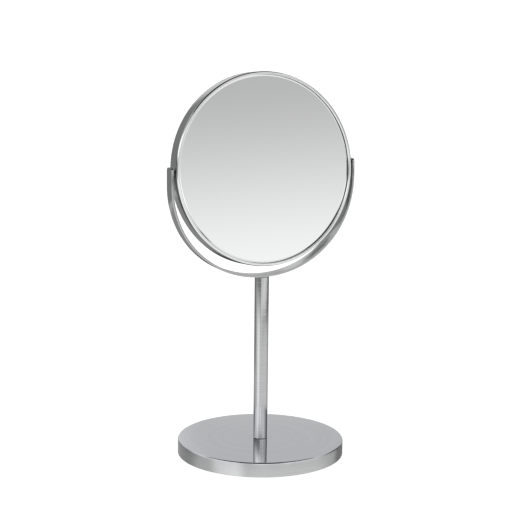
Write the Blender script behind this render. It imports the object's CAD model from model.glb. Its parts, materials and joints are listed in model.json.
"""Looks of the two-sided pedestal mirror: fine meshes, materials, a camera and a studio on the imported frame."""

import json
from math import cos, pi, radians, sin, sqrt

import bmesh
import bpy
from mathutils import Matrix, Vector


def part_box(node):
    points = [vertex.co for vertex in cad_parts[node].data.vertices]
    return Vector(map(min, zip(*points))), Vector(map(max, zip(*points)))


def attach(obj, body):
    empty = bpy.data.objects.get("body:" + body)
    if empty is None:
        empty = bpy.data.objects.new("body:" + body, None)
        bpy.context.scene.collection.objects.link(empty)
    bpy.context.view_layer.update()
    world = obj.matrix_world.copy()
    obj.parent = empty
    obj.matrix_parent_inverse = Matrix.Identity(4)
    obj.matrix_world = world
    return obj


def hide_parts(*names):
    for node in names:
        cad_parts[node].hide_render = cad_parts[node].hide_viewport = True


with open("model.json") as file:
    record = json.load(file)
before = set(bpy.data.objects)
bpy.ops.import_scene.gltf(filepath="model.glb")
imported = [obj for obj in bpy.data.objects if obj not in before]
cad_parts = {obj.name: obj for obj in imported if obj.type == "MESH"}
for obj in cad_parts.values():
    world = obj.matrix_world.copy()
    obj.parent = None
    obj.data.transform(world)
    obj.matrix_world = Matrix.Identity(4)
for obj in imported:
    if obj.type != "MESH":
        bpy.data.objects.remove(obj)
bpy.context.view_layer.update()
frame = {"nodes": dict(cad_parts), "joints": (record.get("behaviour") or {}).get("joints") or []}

MM = 0.001

# Camera: a 110 mm lens 1.38 m from the column's axis, left of the plain mirror's normal
CAMERA_DISTANCE = 1.3848
CAMERA_HEIGHT = 0.4490
CAMERA_AZIMUTH = radians(26.317)
CAMERA_YAW = radians(-0.072)
CAMERA_PITCH = radians(11.117)
CAMERA_ROLL = radians(0.568)
CAMERA_LENS = 110.32
SENSOR_WIDTH = 36.0

# The head's rest tilt, and the sizes inside it that the nodes' boxes don't give
HEAD_TILT = radians(-6.0)
HEAD_THICKNESS = 14.8 * MM
HEAD_ROUNDING = 1.6 * MM
BAND_WALL = 1.2 * MM
LIP_WIDTH = 2.7 * MM
LIP_ROUNDING = 0.5 * MM
FRONT_LIP_THICKNESS = 1.5 * MM
REAR_LIP_THICKNESS = 1.1 * MM
GLASS_THICKNESS = 1.5 * MM
FRONT_GLASS_FACE = 5.2 * MM
REAR_GLASS_EDGE = -5.7 * MM
BEVEL_WIDTH = 2.6 * MM
BEVEL_DROP = 0.3 * MM
FRONT_GASKET_THICKNESS = 0.6 * MM
REAR_GASKET_THICKNESS = 0.4 * MM
MAGNIFIER_CURVE = 1.2
BEZEL_GAP = 0.2 * MM
SEAL_GAP = 0.05 * MM
POLISHED_LIP_DEPTH = 0.5 * MM

# The base's cover and the column
COVER_WALL = 1.2 * MM
COVER_HOLE_RADIUS = 3.2 * MM
BASE_ROUNDING = 1.5 * MM
COLUMN_WALL = 1.0 * MM

# The yoke's strip
STRIP_THICKNESS = 2.0 * MM
STRIP_SOFT_EDGE = 0.35 * MM
THINNEST_HALF_WIDTH = 0.02 * MM
YOKE_SQUARENESS = 2.05
YOKE_CENTRE_DROP = 10.4 * MM
TIP_ROUNDING = 3.0 * MM

# How finely curves are divided
STEPS = 256
COLUMN_STEPS = 96
TIP_STEPS = 16
ARC_STEPS = 220
MIRROR_RINGS = 24


def centre_and_half(node):
    low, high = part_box(node)
    return (low + high) / 2, (high - low) / 2


PIVOT = Vector(frame["joints"][0]["pos_m"])
HEAD_RADIUS = centre_and_half("head_band")[1].x
GLASS_RADIUS = centre_and_half("front_glass")[1].x
COLUMN_RADIUS = centre_and_half("column_tube")[1].x
BASE_RADIUS = centre_and_half("base_cover")[1].x
BASE_LOW, BASE_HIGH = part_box("base_cover")
YOKE_LOW, YOKE_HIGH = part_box("yoke")
YOKE_CENTRE = Vector((0, 0, PIVOT.z - YOKE_CENTRE_DROP))
STRIP_WIDTH = YOKE_HIGH.y - YOKE_LOW.y

FACING_FRONT = Matrix.Rotation(pi / 2, 4, "X")
HEAD_PLACE = Matrix.Translation(PIVOT) @ Matrix.Rotation(HEAD_TILT, 4, "X") @ FACING_FRONT
YOKE_PLACE = Matrix.Translation(YOKE_CENTRE) @ FACING_FRONT


# Mesh helpers


def rounded(points, segments=7):
    """A closed outline of (radius, height, corner radius) points, its right-angled corners turned into arcs."""
    arc_weight = 2 * sqrt(0.5)
    outline = []
    count = len(points)
    for k, (r, z, corner) in enumerate(points):
        here = Vector((r, z))
        if not corner:
            outline.append(here)
            continue
        before = (Vector(points[k - 1][:2]) - here).normalized()
        after = (Vector(points[(k + 1) % count][:2]) - here).normalized()
        start = here + before * corner
        end = here + after * corner
        for step in range(segments + 1):
            t = step / segments
            middle = arc_weight * t * (1 - t)
            bend = (1 - t) ** 2 * start + middle * here + t**2 * end
            outline.append(bend / ((1 - t) ** 2 + middle + t**2))
    return [(p.x, p.y) for p in outline]


def piece(name, fill, place, material, body, replaced=(), sharp=30):
    """A finished mesh object whose geometry the function fill puts into a bmesh."""
    mesh = bpy.data.meshes.new(name)
    bm = bmesh.new()
    fill(bm)
    bmesh.ops.recalc_face_normals(bm, faces=bm.faces)
    bm.to_mesh(mesh)
    bm.free()
    mesh.materials.append(material)
    mesh.shade_smooth()
    mesh.set_sharp_from_angle(angle=radians(sharp))
    obj = bpy.data.objects.new(name, mesh)
    bpy.context.scene.collection.objects.link(obj)
    obj.matrix_world = place
    if replaced:
        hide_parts(*replaced)
    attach(obj, body)
    return obj


def turned(profile, closed=True, steps=STEPS):
    """A filler that turns the (radius, height) profile about local Z."""

    def fill(bm):
        verts = [bm.verts.new((r, 0.0, z)) for r, z in profile]
        pairs = list(zip(verts, verts[1:]))
        if closed:
            pairs.append((verts[-1], verts[0]))
        edges = [bm.edges.new(pair) for pair in pairs]
        bmesh.ops.spin(
            bm,
            geom=verts + edges,
            cent=(0, 0, 0),
            axis=(0, 0, 1),
            angle=2 * pi,
            steps=steps,
            use_merge=True,
        )
        bmesh.ops.remove_doubles(bm, verts=bm.verts, dist=1e-7)

    return fill


# Materials

# Brush marks: lines per metre across them and noise scale along them, fine and coarse, and their sum's span
BRUSH_LINES = ((2600.0, 22.0), (520.0, 12.0))
BRUSH_SPAN = (0.7, 1.3)


def new_material(name):
    material = bpy.data.materials.new(name)
    material.use_nodes = True
    nodes = material.node_tree.nodes
    return material, nodes, material.node_tree.links, nodes["Principled BSDF"]


def add_noise(nodes, links, place, scale, detail=2.0):
    noise = nodes.new("ShaderNodeTexNoise")
    noise.inputs["Scale"].default_value = scale
    noise.inputs["Detail"].default_value = detail
    links.new(place.outputs["Object"], noise.inputs["Vector"])
    return noise


def vary_roughness(nodes, links, source, shader, low, high, span=(0.0, 1.0)):
    """The source's span becomes a roughness from low to high."""
    node = nodes.new("ShaderNodeMapRange")
    for name, number in zip(("From Min", "From Max", "To Min", "To Max"), (*span, low, high)):
        node.inputs[name].default_value = number
    links.new(source, node.inputs["Value"])
    links.new(node.outputs["Result"], shader.inputs["Roughness"])


def vary_colour(nodes, links, source, shader, colour, change, span=(0.0, 1.0)):
    """The source's span becomes the colour made darker to lighter by the change."""
    node = nodes.new("ShaderNodeMapRange")
    node.data_type = "FLOAT_VECTOR"
    value, from_low, from_high, to_low, to_high = node.inputs[6:11]
    from_low.default_value = [span[0]] * 3
    from_high.default_value = [span[1]] * 3
    to_low.default_value = [c * (1 - change) for c in colour]
    to_high.default_value = [min(1.0, c * (1 + change)) for c in colour]
    links.new(source, value)
    links.new(node.outputs["Vector"], shader.inputs["Base Color"])


def add_bump(nodes, links, source, shader, depth):
    bump = nodes.new("ShaderNodeBump")
    bump.inputs["Strength"].default_value = 1.0
    bump.inputs["Distance"].default_value = depth
    links.new(source, bump.inputs["Height"])
    links.new(bump.outputs["Normal"], shader.inputs["Normal"])


def steel(name, colour, roughness, anisotropic, streak_depth, spread=0.06):
    """Steel brushed round local Z: fine lines follow the circumference on walls and run concentric on faces."""
    material, nodes, links, shader = new_material(name)
    shader.inputs["Metallic"].default_value = 1.0
    shader.inputs["Anisotropic"].default_value = anisotropic
    shader.inputs["Anisotropic Rotation"].default_value = 0.25
    tangent = nodes.new("ShaderNodeTangent")
    tangent.direction_type = "RADIAL"
    tangent.axis = "Z"
    links.new(tangent.outputs["Tangent"], shader.inputs["Tangent"])
    place = nodes.new("ShaderNodeTexCoord")
    split = nodes.new("ShaderNodeSeparateXYZ")
    links.new(place.outputs["Object"], split.inputs["Vector"])
    flat = nodes.new("ShaderNodeCombineXYZ")
    links.new(split.outputs["X"], flat.inputs["X"])
    links.new(split.outputs["Y"], flat.inputs["Y"])
    radius = nodes.new("ShaderNodeVectorMath")
    radius.operation = "LENGTH"
    links.new(flat.outputs["Vector"], radius.inputs[0])
    across = nodes.new("ShaderNodeMath")
    links.new(radius.outputs["Value"], across.inputs[0])
    links.new(split.outputs["Z"], across.inputs[1])
    both = nodes.new("ShaderNodeMath")
    for socket, (line_density, length_scale) in zip(both.inputs, BRUSH_LINES):
        dense = nodes.new("ShaderNodeMath")
        dense.operation = "MULTIPLY"
        dense.inputs[1].default_value = line_density / length_scale
        links.new(across.outputs["Value"], dense.inputs[0])
        noise = add_noise(nodes, links, place, length_scale, 3.0)
        noise.noise_dimensions = "4D"
        links.new(dense.outputs["Value"], noise.inputs["W"])
        links.new(noise.outputs["Fac"], socket)
    streaks = both.outputs["Value"]
    vary_roughness(nodes, links, streaks, shader, roughness - spread, roughness + spread, BRUSH_SPAN)
    vary_colour(nodes, links, streaks, shader, colour, 0.05, BRUSH_SPAN)
    add_bump(nodes, links, streaks, shader, streak_depth)
    return material


def plain(name, colour, roughness, metallic=0.0, grain=900.0, depth=0.01 * MM, spread=0.08):
    """A moulded, cast or plated surface: a fine grain in its roughness and its bump."""
    material, nodes, links, shader = new_material(name)
    shader.inputs["Metallic"].default_value = metallic
    place = nodes.new("ShaderNodeTexCoord")
    grains = add_noise(nodes, links, place, grain, 4.0).outputs["Fac"]
    vary_roughness(nodes, links, grains, shader, roughness - spread, roughness + spread)
    vary_colour(nodes, links, grains, shader, colour, 0.15)
    add_bump(nodes, links, grains, shader, depth)
    return material


def silvered(name, colour, roughness):
    """Mirror glass: next to no roughness, and a faint cloudiness in its silvering."""
    material, nodes, links, shader = new_material(name)
    shader.inputs["Metallic"].default_value = 1.0
    place = nodes.new("ShaderNodeTexCoord")
    clouds = add_noise(nodes, links, place, 8.0).outputs["Fac"]
    vary_roughness(nodes, links, clouds, shader, roughness * 0.9, roughness * 1.1)
    vary_colour(nodes, links, clouds, shader, colour, 0.003)
    return material


STEEL = steel("brushed_steel", (0.62, 0.625, 0.63), 0.26, 0.75, 0.003 * MM)
SATIN = steel("satin_steel", (0.62, 0.625, 0.63), 0.14, 0.5, 0.001 * MM, spread=0.03)
POLISHED = steel("polished_steel", (0.90, 0.905, 0.91), 0.07, 0.2, 0.0004 * MM, spread=0.02)
STRIP_EDGE = steel("strip_edge_steel", (0.58, 0.585, 0.59), 0.08, 0.2, 0.0005 * MM, spread=0.02)
BASE_TOP = steel("base_top_steel", (0.78, 0.80, 0.83), 0.07, 0.2, 0.0, spread=0.01)
MIRROR = silvered("silvered_glass", (0.93, 0.935, 0.935), 0.01)
RUBBER = plain("gasket_rubber", (0.07, 0.07, 0.07), 0.6)
FOAM = plain("foam_pad", (0.03, 0.03, 0.032), 0.85, grain=1500.0, depth=0.1 * MM)
NYLON = plain("black_nylon", (0.12, 0.12, 0.125), 0.45)
CARRIER = plain("carrier_plastic", (0.06, 0.06, 0.065), 0.5)
BACKING = plain("backing_sheet", (0.20, 0.17, 0.14), 0.75)
IRON = plain("cast_iron", (0.10, 0.10, 0.105), 0.55, 0.8, grain=700.0, depth=0.08 * MM)
ZINC = plain("zinc_steel", (0.55, 0.56, 0.58), 0.33, 1.0, grain=1200.0)


# Base


def make_base():
    low, high = BASE_LOW.z, BASE_HIGH.z
    inner = BASE_RADIUS - COVER_WALL
    ceiling = high - COVER_WALL
    profile = rounded(
        [
            (BASE_RADIUS, high, BASE_ROUNDING),
            (BASE_RADIUS, low, 0.2 * MM),
            (inner, low, 0.2 * MM),
            (inner, ceiling, 0.0),
            (COVER_HOLE_RADIUS, ceiling, 0.0),
            (COVER_HOLE_RADIUS, high, 0.0),
        ]
    )
    fill = turned(profile)
    cover = piece("base_shell", fill, Matrix.Identity(4), STEEL, "stand", ["base_cover"])
    cover.data.materials.append(BASE_TOP)
    for face in cover.data.polygons:
        if face.center.z > high - BASE_ROUNDING:
            face.material_index = 1


def make_column():
    low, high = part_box("column_tube")
    inner = COLUMN_RADIUS - COLUMN_WALL
    profile = rounded(
        [
            (COLUMN_RADIUS, high.z, 0.15 * MM),
            (COLUMN_RADIUS, low.z, 0.15 * MM),
            (inner, low.z, 0.0),
            (inner, high.z, 0.0),
        ],
        3,
    )
    fill = turned(profile, steps=COLUMN_STEPS)
    piece("column", fill, Matrix.Identity(4), SATIN, "stand", ["column_tube"])


# Yoke


def yoke_line():
    """(x, height, half width) of the strip's outer face in the yoke's own frame, tip to tip."""
    half = STRIP_WIDTH / 2
    reach = YOKE_HIGH.x
    depth = YOKE_CENTRE.z - YOKE_LOW.z
    tip = []
    for step in range(TIP_STEPS + 1):
        angle = pi / 2 * step / TIP_STEPS
        height = half - TIP_ROUNDING * (1 - cos(angle))
        tip.append((-reach, YOKE_CENTRE_DROP + height, half - TIP_ROUNDING * (1 - sin(angle))))
    arc = []
    for step in range(1, ARC_STEPS):
        angle = pi * step / ARC_STEPS
        across = abs(cos(angle)) ** (2 / YOKE_SQUARENESS)
        across = -across if cos(angle) > 0 else across
        arc.append((reach * across, -depth * sin(angle) ** (2 / YOKE_SQUARENESS), half))
    other_tip = [(-x, z, w) for x, z, w in reversed(tip)]
    return [*tip, (-reach, 0.0, half), *arc, (reach, 0.0, half), *other_tip]


def make_yoke():
    """The strip is lofted along its line with a rounded section."""
    line = yoke_line()
    flat = [Vector((x, z)) for x, z, _ in line]

    def inward(k):
        along = (flat[min(k + 1, len(flat) - 1)] - flat[max(k - 1, 0)]).normalized()
        return Vector((-along.y, along.x))

    def fill(bm):
        rows = []
        for k, (x, z, half) in enumerate(line):
            into = inward(k)
            half = max(half, THINNEST_HALF_WIDTH)
            edge = min(STRIP_SOFT_EDGE, half * 0.5)
            section = rounded(
                [
                    (0.0, half, edge),
                    (0.0, -half, edge),
                    (STRIP_THICKNESS, -half, edge),
                    (STRIP_THICKNESS, half, edge),
                ],
                4,
            )
            rows.append(
                [bm.verts.new((x + into.x * depth, z + into.y * depth, wide)) for depth, wide in section]
            )
        count = len(rows[0])
        for row, following in zip(rows, rows[1:]):
            for k in range(count):
                bm.faces.new((row[k], row[(k + 1) % count], following[(k + 1) % count], following[k]))
        bm.faces.new(rows[0])
        bm.faces.new(reversed(rows[-1]))

    strip = piece("yoke_strip", fill, YOKE_PLACE, SATIN, "stand", ["yoke"], sharp=45)
    strip.data.materials.append(STRIP_EDGE)
    for face in strip.data.polygons:
        if abs(face.normal.z) > 0.3:
            face.material_index = 1


# Head


def make_band():
    edge = HEAD_THICKNESS / 2
    inner = HEAD_RADIUS - BAND_WALL
    lip = HEAD_RADIUS - LIP_WIDTH
    profile = rounded(
        [
            (HEAD_RADIUS, edge, HEAD_ROUNDING),
            (HEAD_RADIUS, -edge, 0.6 * MM),
            (inner, -edge, 0.1 * MM),
            (inner, edge - FRONT_LIP_THICKNESS, 0.0),
            (lip, edge - FRONT_LIP_THICKNESS, 0.1 * MM),
            (lip, edge, LIP_ROUNDING),
        ]
    )
    band = piece("head_hoop", turned(profile), HEAD_PLACE, SATIN, "head", ["head_band"])
    band.data.materials.append(POLISHED)
    for face in band.data.polygons:
        inside = face.center.xy.length < inner and face.center.z > edge - FRONT_LIP_THICKNESS
        if inside or face.center.z > edge - POLISHED_LIP_DEPTH:
            face.material_index = 1


def make_bezel():
    edge = HEAD_THICKNESS / 2
    outer = HEAD_RADIUS - BAND_WALL - BEZEL_GAP
    lip = HEAD_RADIUS - LIP_WIDTH
    profile = rounded(
        [
            (outer, -edge + REAR_LIP_THICKNESS, 0.0),
            (outer, -edge, 0.15 * MM),
            (lip, -edge, 0.5 * MM),
            (lip, -edge + REAR_LIP_THICKNESS, 0.1 * MM),
        ]
    )
    piece("rear_ring", turned(profile), HEAD_PLACE, POLISHED, "head", ["rear_bezel"])


def make_front_mirror():
    back = FRONT_GLASS_FACE - GLASS_THICKNESS
    profile = [
        (0.0, FRONT_GLASS_FACE),
        (GLASS_RADIUS - BEVEL_WIDTH, FRONT_GLASS_FACE),
        (GLASS_RADIUS, FRONT_GLASS_FACE - BEVEL_DROP),
        (GLASS_RADIUS, back),
        (0.0, back),
    ]
    fill = turned(profile, closed=False)
    piece("plain_mirror", fill, HEAD_PLACE, MIRROR, "head", ["front_glass"], sharp=2)


def make_rear_mirror():
    radii = [GLASS_RADIUS * step / MIRROR_RINGS for step in range(MIRROR_RINGS + 1)]

    def height(r):
        return REAR_GLASS_EDGE + (GLASS_RADIUS**2 - r**2) / (2 * MAGNIFIER_CURVE)

    inside = [(r, height(r) + GLASS_THICKNESS) for r in radii]
    outside = [(r, height(r)) for r in reversed(radii)]
    fill = turned(inside + outside, closed=False)
    piece("magnifying_mirror", fill, HEAD_PLACE, MIRROR, "head", ["rear_glass"], sharp=20)


def make_gaskets():
    """Rubber rings between each lip's underside and the edge of its mirror."""
    inner = HEAD_RADIUS - LIP_WIDTH + SEAL_GAP
    for name, node, face, lip, thickness in (
        ("front_seal", "front_gasket", 1, FRONT_LIP_THICKNESS, FRONT_GASKET_THICKNESS),
        ("rear_seal", "rear_gasket", -1, REAR_LIP_THICKNESS, REAR_GASKET_THICKNESS),
    ):
        high = HEAD_THICKNESS / 2 - lip - SEAL_GAP
        low = high - thickness
        corners = [(GLASS_RADIUS, high), (GLASS_RADIUS, low), (inner, low), (inner, high)]
        profile = rounded([(r, face * z, 0.08 * MM) for r, z in corners], 3)
        piece(name, turned(profile), HEAD_PLACE, RUBBER, "head", [node])


CARRIED = {
    "base_weight": IRON,
    "base_pad": FOAM,
    "base_bolt": ZINC,
    "base_washer": ZINC,
    "base_lock_washer": ZINC,
    "column_foot_plug": ZINC,
    "column_top_plug": ZINC,
    "yoke_screw": ZINC,
    "pivot_pin_left": POLISHED,
    "pivot_pin_right": POLISHED,
    "pivot_spacer_left": NYLON,
    "pivot_spacer_right": NYLON,
    "pivot_wave_washer_left": ZINC,
    "pivot_wave_washer_right": ZINC,
    "pivot_nut_left": ZINC,
    "pivot_nut_right": ZINC,
    "front_backing": BACKING,
    "rear_backing": BACKING,
    "core_ring": CARRIER,
}


def dress_cad_nodes():
    for name, material in CARRIED.items():
        mesh = frame["nodes"][name].data
        mesh.materials.clear()
        mesh.materials.append(material)
        mesh.shade_smooth()
        mesh.set_sharp_from_angle(angle=radians(30))


# Camera and studio


def make_camera():
    data = bpy.data.cameras.new("camera")
    data.lens = CAMERA_LENS
    data.sensor_width = SENSOR_WIDTH
    camera = bpy.data.objects.new("camera", data)
    bpy.context.scene.collection.objects.link(camera)
    heading = CAMERA_AZIMUTH + CAMERA_YAW
    camera.location = (
        -CAMERA_DISTANCE * sin(CAMERA_AZIMUTH),
        -CAMERA_DISTANCE * cos(CAMERA_AZIMUTH),
        CAMERA_HEIGHT,
    )
    forward = Vector((sin(heading) * cos(CAMERA_PITCH), cos(heading) * cos(CAMERA_PITCH), -sin(CAMERA_PITCH)))
    look = forward.to_track_quat("-Z", "Y").to_matrix().to_4x4()
    turn = look @ Matrix.Rotation(CAMERA_ROLL, 4, "Z")
    camera.rotation_euler = turn.to_euler()
    bpy.context.scene.camera = camera


def heading_vector(degrees_right):
    """Horizontal direction so many degrees to the right of the line from the object to the camera."""
    angle = radians(degrees_right)
    back = Vector((-sin(CAMERA_AZIMUTH), -cos(CAMERA_AZIMUTH), 0))
    right = Vector((cos(CAMERA_AZIMUTH), -sin(CAMERA_AZIMUTH), 0))
    return back * cos(angle) + right * sin(angle)


# Studio panels round the object: (heading, half width, soft edge, lowest, highest, soft rim, added light).
# Angles are in degrees. A negative light darkens, and a half width of 180 goes all the way round.
PANELS = [
    (-46, 12, 16, -90, -6, 2, 0.44),
    (-46, 12, 16, 12, 30, 3, 0.44),
    (-126, 18, 22, -17, 23, 2, -0.36),
    (-62, 48, 16, -3, 8, 3, -0.42),
    (-50, 50, 20, 11, 26, 3, 0.34),
    (-146, 24, 22, -60, -20, 4, -0.30),
    (-165, 6, 6, 8, 40, 5, 0.24),
    (-148, 10, 6, 25, 36, 3, -0.36),
    (53, 45, 25, -9, -1.4, 8, 0.48),
    (53, 40, 12, -9, 19, 4, -0.12),
    (53, 30, 20, -8.8, -6.8, 1.2, -0.40),
    (39, 4, 4, -4, 12, 3, 0.25),
    (30, 60, 30, -90, -10, 4, 0.16),
    (45, 50, 25, -60, -28, 4, 0.24),
    (160, 22, 16, -90, -10, 8, -0.38),
    (180, 14, 14, -14, -6, 3, -0.25),
    (180, 20, 20, 5, 40, 10, -0.08),
    (122, 17, 8, -2, 30, 4, -0.50),
    (130, 36, 12, -11, -1, 3, -0.45),
    (30, 30, 20, 12, 29, 4, 0.36),
    (0, 25, 15, 30, 90, 8, -0.95),
    (0, 180, 0, 48, 90, 8, -0.95),
    (0, 180, 0, -90, -68, 12, -0.45),
]
BASE_LIGHT = 0.62
DARKEST = 0.03
BACKDROP_LIGHT = 1.05
FLOOR_GLOW = 0.85
FLOOR_RADIUS = 60.0
FLOOR_DROP = 0.2 * MM


def make_world():
    world = bpy.data.worlds.new("studio")
    bpy.context.scene.world = world
    world.use_nodes = True
    nodes, links = world.node_tree.nodes, world.node_tree.links
    nodes.clear()
    coordinates = nodes.new("ShaderNodeTexCoord")
    direction = nodes.new("ShaderNodeVectorMath")
    direction.operation = "NORMALIZE"
    links.new(coordinates.outputs["Generated"], direction.inputs[0])
    split = nodes.new("ShaderNodeSeparateXYZ")
    links.new(direction.outputs["Vector"], split.inputs["Vector"])
    flat = nodes.new("ShaderNodeCombineXYZ")
    links.new(split.outputs["X"], flat.inputs["X"])
    links.new(split.outputs["Y"], flat.inputs["Y"])
    level = nodes.new("ShaderNodeVectorMath")
    level.operation = "NORMALIZE"
    links.new(flat.outputs["Vector"], level.inputs[0])

    def math(operation, first, second):
        node = nodes.new("ShaderNodeMath")
        node.operation = operation
        for socket, value in zip(node.inputs, (first, second)):
            if isinstance(value, float):
                socket.default_value = value
            else:
                links.new(value, socket)
        return node.outputs["Value"]

    def smooth(value, start, end, low, high):
        node = nodes.new("ShaderNodeMapRange")
        node.interpolation_type = "SMOOTHSTEP"
        for name, number in zip(("From Min", "From Max", "To Min", "To Max"), (start, end, low, high)):
            node.inputs[name].default_value = number
        links.new(value, node.inputs["Value"])
        return node.outputs["Result"]

    z = split.outputs["Z"]
    total = BASE_LIGHT
    for heading, half, soft, low, high, rim, added in PANELS:
        term = added
        if half < 180:
            toward = nodes.new("ShaderNodeVectorMath")
            toward.operation = "DOT_PRODUCT"
            toward.inputs[1].default_value = heading_vector(heading)
            links.new(level.outputs["Vector"], toward.inputs[0])
            wide = smooth(toward.outputs["Value"], cos(radians(half + soft)), cos(radians(half)), 0.0, 1.0)
            term = math("MULTIPLY", wide, term)
        # A panel that reaches the zenith or the nadir has no rim there
        if high < 90:
            over = smooth(z, sin(radians(high)), sin(radians(high + rim)), 1.0, 0.0)
            term = math("MULTIPLY", term, over)
        if low > -90:
            under = smooth(z, sin(radians(low)), sin(radians(low + rim)), 0.0, 1.0)
            term = math("MULTIPLY", term, under)
        total = math("ADD", total, term)
    total = math("MAXIMUM", total, DARKEST)
    background = nodes.new("ShaderNodeBackground")
    links.new(total, background.inputs["Color"])
    white = nodes.new("ShaderNodeBackground")
    white.inputs["Color"].default_value = (1, 1, 1, 1)
    white.inputs["Strength"].default_value = BACKDROP_LIGHT
    path = nodes.new("ShaderNodeLightPath")
    mix = nodes.new("ShaderNodeMixShader")
    links.new(path.outputs["Is Camera Ray"], mix.inputs[0])
    links.new(background.outputs["Background"], mix.inputs[1])
    links.new(white.outputs["Background"], mix.inputs[2])
    output = nodes.new("ShaderNodeOutputWorld")
    links.new(mix.outputs["Shader"], output.inputs["Surface"])


def make_floor():
    mesh = bpy.data.meshes.new("floor")
    bm = bmesh.new()
    bmesh.ops.create_circle(bm, cap_ends=True, segments=96, radius=FLOOR_RADIUS)
    bm.to_mesh(mesh)
    bm.free()
    material, _, _, shader = new_material("floor")
    shader.inputs["Base Color"].default_value = (0.9, 0.9, 0.9, 1.0)
    shader.inputs["Roughness"].default_value = 1.0
    shader.inputs["Emission Color"].default_value = (1.0, 1.0, 1.0, 1.0)
    shader.inputs["Emission Strength"].default_value = FLOOR_GLOW
    mesh.materials.append(material)
    floor = bpy.data.objects.new("floor", mesh)
    bpy.context.scene.collection.objects.link(floor)
    floor.location.z = -FLOOR_DROP
    floor.visible_glossy = False


make_camera()
make_world()
make_floor()
make_base()
make_column()
make_yoke()
make_band()
make_bezel()
make_front_mirror()
make_rear_mirror()
make_gaskets()
dress_cad_nodes()
bpy.context.scene.view_settings.view_transform = "Standard"
